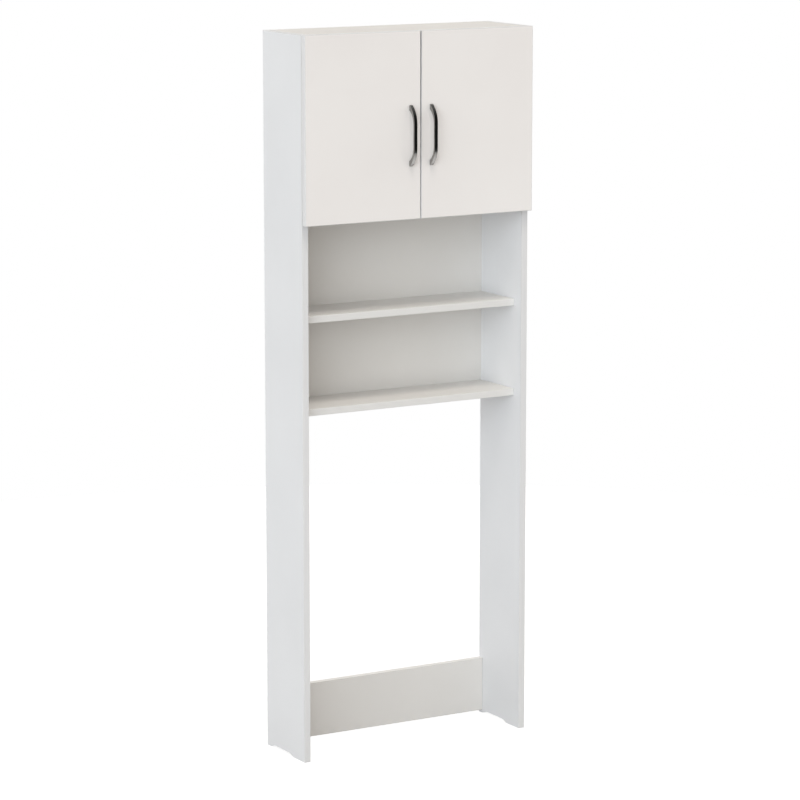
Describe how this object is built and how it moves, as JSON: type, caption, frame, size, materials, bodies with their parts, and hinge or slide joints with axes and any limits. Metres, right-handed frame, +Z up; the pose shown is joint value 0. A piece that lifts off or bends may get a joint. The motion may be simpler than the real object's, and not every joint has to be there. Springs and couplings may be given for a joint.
{
  "type": "over the toilet storage rack",
  "caption": "Tall narrow white bathroom rack that straddles a toilet: a cupboard with bow-handled doors on top, open shelves below it, and a stretcher near the floor at the rear.",
  "frame": {"origin": "on the floor, at the middle of the overall width and of the overall depth with the handles", "axes": "+Z up; the doors and handles face -Y and the wall side faces +Y; +X to the right seen from the front"},
  "size_m": [0.6, 0.2222, 1.675],
  "materials": {
    "white_melamine": "white melamine-faced particle board with white edge band, satin",
    "door_melamine": "slightly warm white melamine-faced board with white edge band, satin",
    "white_hardboard": "thin hardboard, white lacquered in front and raw brown behind",
    "black_chrome": "polished black chrome on zinc alloy",
    "hinge_steel": "nickel-plated pressed steel",
    "zinc_fittings": "zinc-plated, slightly dull",
    "nylon_pins": "white nylon",
    "door_bumpers": "soft translucent elastomer"
  },
  "bodies": {
    "carcass": {"left_side_panel": "white_melamine", "right_side_panel": "white_melamine", "lower_shelf": "white_melamine", "middle_shelf": "white_melamine", "cabinet_floor": "white_melamine", "top_panel": "white_melamine", "inner_shelf": "white_melamine", "rear_stretcher": "white_melamine", "back_panel": "white_hardboard", "lower_shelf_left_cam": "zinc_fittings", "lower_shelf_right_cam": "zinc_fittings", "middle_shelf_left_cam": "zinc_fittings", "middle_shelf_right_cam": "zinc_fittings", "cabinet_floor_left_cam": "zinc_fittings", "cabinet_floor_right_cam": "zinc_fittings", "top_panel_left_cam": "zinc_fittings", "top_panel_right_cam": "zinc_fittings", "rear_stretcher_left_cam": "zinc_fittings", "rear_stretcher_right_cam": "zinc_fittings", "left_lower_hinge_arm": "hinge_steel", "left_lower_hinge_plate": "hinge_steel", "left_lower_hinge_link_pin": "hinge_steel", "left_upper_hinge_arm": "hinge_steel", "left_upper_hinge_plate": "hinge_steel", "left_upper_hinge_link_pin": "hinge_steel", "right_lower_hinge_arm": "hinge_steel", "right_lower_hinge_plate": "hinge_steel", "right_lower_hinge_link_pin": "hinge_steel", "right_upper_hinge_arm": "hinge_steel", "right_upper_hinge_plate": "hinge_steel", "right_upper_hinge_link_pin": "hinge_steel", "left_front_shelf_pin": "nylon_pins", "left_rear_shelf_pin": "nylon_pins", "right_front_shelf_pin": "nylon_pins", "right_rear_shelf_pin": "nylon_pins", "left_wall_bracket": "zinc_fittings", "right_wall_bracket": "zinc_fittings"},
    "left_door": {"left_door": "door_melamine", "left_handle": "black_chrome", "left_lower_handle_screw": "zinc_fittings", "left_lower_hinge_cup": "hinge_steel", "left_lower_door_bumper": "door_bumpers", "left_upper_handle_screw": "zinc_fittings", "left_upper_hinge_cup": "hinge_steel", "left_upper_door_bumper": "door_bumpers"},
    "right_door": {"right_door": "door_melamine", "right_handle": "black_chrome", "right_lower_handle_screw": "zinc_fittings", "right_lower_hinge_cup": "hinge_steel", "right_lower_door_bumper": "door_bumpers", "right_upper_handle_screw": "zinc_fittings", "right_upper_hinge_cup": "hinge_steel", "right_upper_door_bumper": "door_bumpers"},
    "left_hinge_links": {"left_lower_hinge_link": "hinge_steel", "left_upper_hinge_link": "hinge_steel"},
    "right_hinge_links": {"right_lower_hinge_link": "hinge_steel", "right_upper_hinge_link": "hinge_steel"}
  },
  "joints": [
    {"name": "left_door_swing", "type": "hinge", "parent": "carcass", "child": "left_door", "pos_m": [-0.295, -0.08435, 1.461], "axis": [0, 0, -1], "range_deg": [0, 95]},
    {"name": "left_link_swing", "type": "hinge", "parent": "carcass", "child": "left_hinge_links", "pos_m": [-0.268, -0.07595, 1.461], "axis": [0, 0, 1], "range_deg": [0, 37]},
    {"name": "right_door_swing", "type": "hinge", "parent": "carcass", "child": "right_door", "pos_m": [0.295, -0.08435, 1.461], "axis": [0, 0, 1], "range_deg": [0, 95]},
    {"name": "right_link_swing", "type": "hinge", "parent": "carcass", "child": "right_hinge_links", "pos_m": [0.268, -0.07595, 1.461], "axis": [0, 0, -1], "range_deg": [0, 37]}
  ],
  "couplings": [
    {"joint": "left_link_swing", "follows": "left_door_swing", "ratio": 0.385},
    {"joint": "right_link_swing", "follows": "right_door_swing", "ratio": 0.385}
  ]
}
